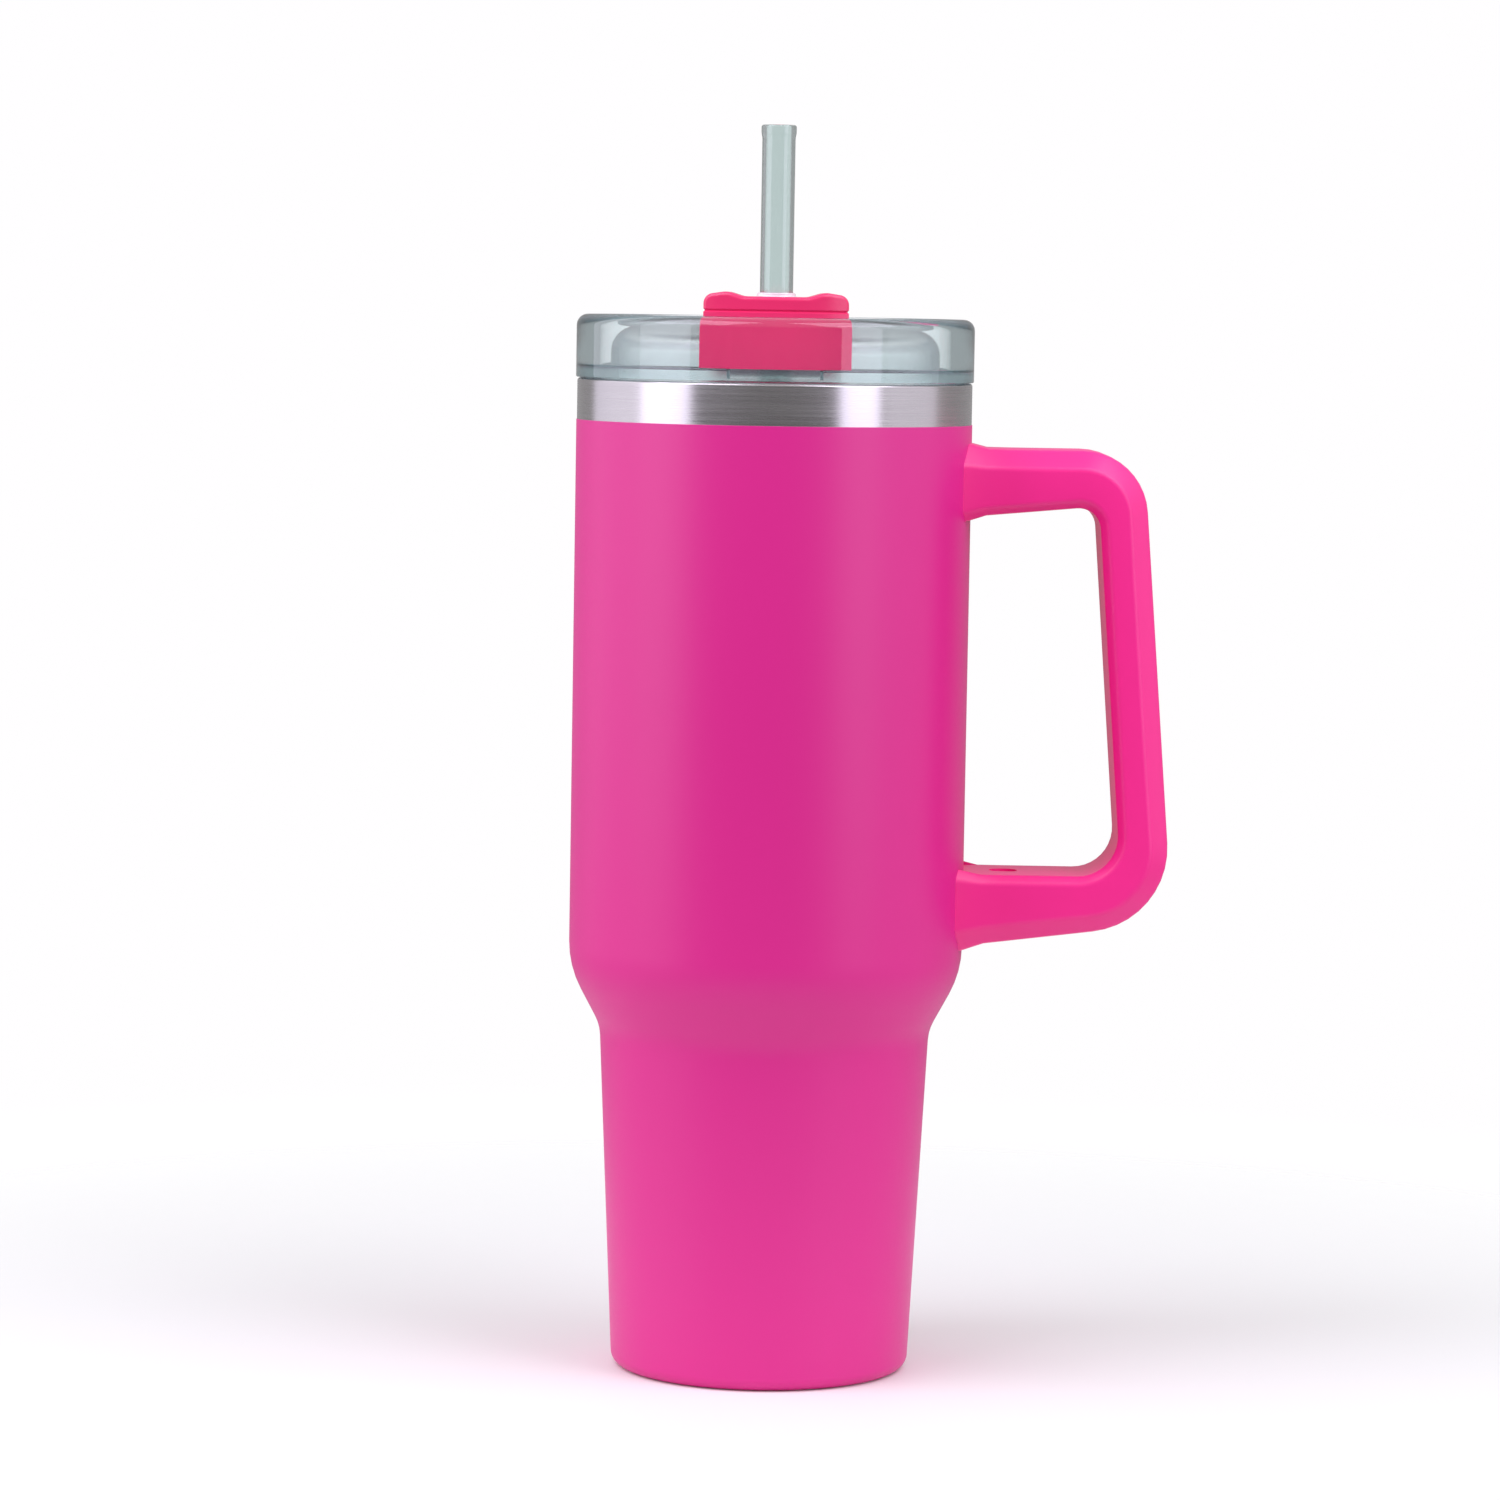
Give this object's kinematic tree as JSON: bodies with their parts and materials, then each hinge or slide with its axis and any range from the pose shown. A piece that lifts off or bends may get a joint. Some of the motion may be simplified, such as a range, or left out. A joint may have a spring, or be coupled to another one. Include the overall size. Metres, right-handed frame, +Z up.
{
  "type": "insulated tumbler",
  "caption": "Double-walled steel drinking tumbler with a side handle, a clear press-in lid, a turning cover and a straw.",
  "frame": {"origin": "on the cup's axis, on the plane that the foot stands on", "axes": "+Z up along the cup's axis, +X towards the handle, -Y towards the sip opening"},
  "size_m": [0.1501, 0.0996, 0.313],
  "materials": {
    "powder_coat": "satin powder coat",
    "stainless_steel": "brushed",
    "getter_metal": "plain",
    "handle_plastic": "satin moulded",
    "clear_plastic": "clear polished",
    "silicone": "translucent matt",
    "cover_plastic": "gloss moulded",
    "straw_plastic": "clear extruded"
  },
  "bodies": {
    "cup": {"outer_shell": "powder_coat", "outer_bottom": "powder_coat", "inner_liner": "stainless_steel", "vacuum_plug": "stainless_steel", "bottom_cover": "powder_coat", "getter": "getter_metal", "handle_shell": "handle_plastic", "grip_strip": "handle_plastic", "upper_bracket": "stainless_steel", "lower_bracket": "stainless_steel", "handle_screws": "stainless_steel", "screw_plugs": "handle_plastic"},
    "lid": {"lid_body": "clear_plastic", "lid_gasket": "silicone"},
    "cover": {"cover_base": "cover_plastic", "cover_cap": "cover_plastic", "hub_seal": "silicone", "cover_retainer": "clear_plastic", "sip_seal": "silicone", "straw_grommet": "silicone"},
    "straw": {"straw": "straw_plastic"}
  },
  "joints": [
    {"name": "lid_lift", "type": "slide", "parent": "cup", "child": "lid", "axis": [0, 0, 1], "range_m": [0, 0.26]},
    {"name": "cover_turn", "type": "hinge", "parent": "lid", "child": "cover", "pos_m": [0, 0, 0.2673], "axis": [0, 0, 1], "range_deg": [-90, 90]},
    {"name": "straw_lift", "type": "slide", "parent": "cover", "child": "straw", "axis": [0, 0, 1], "range_m": [0, 0.28]}
  ]
}
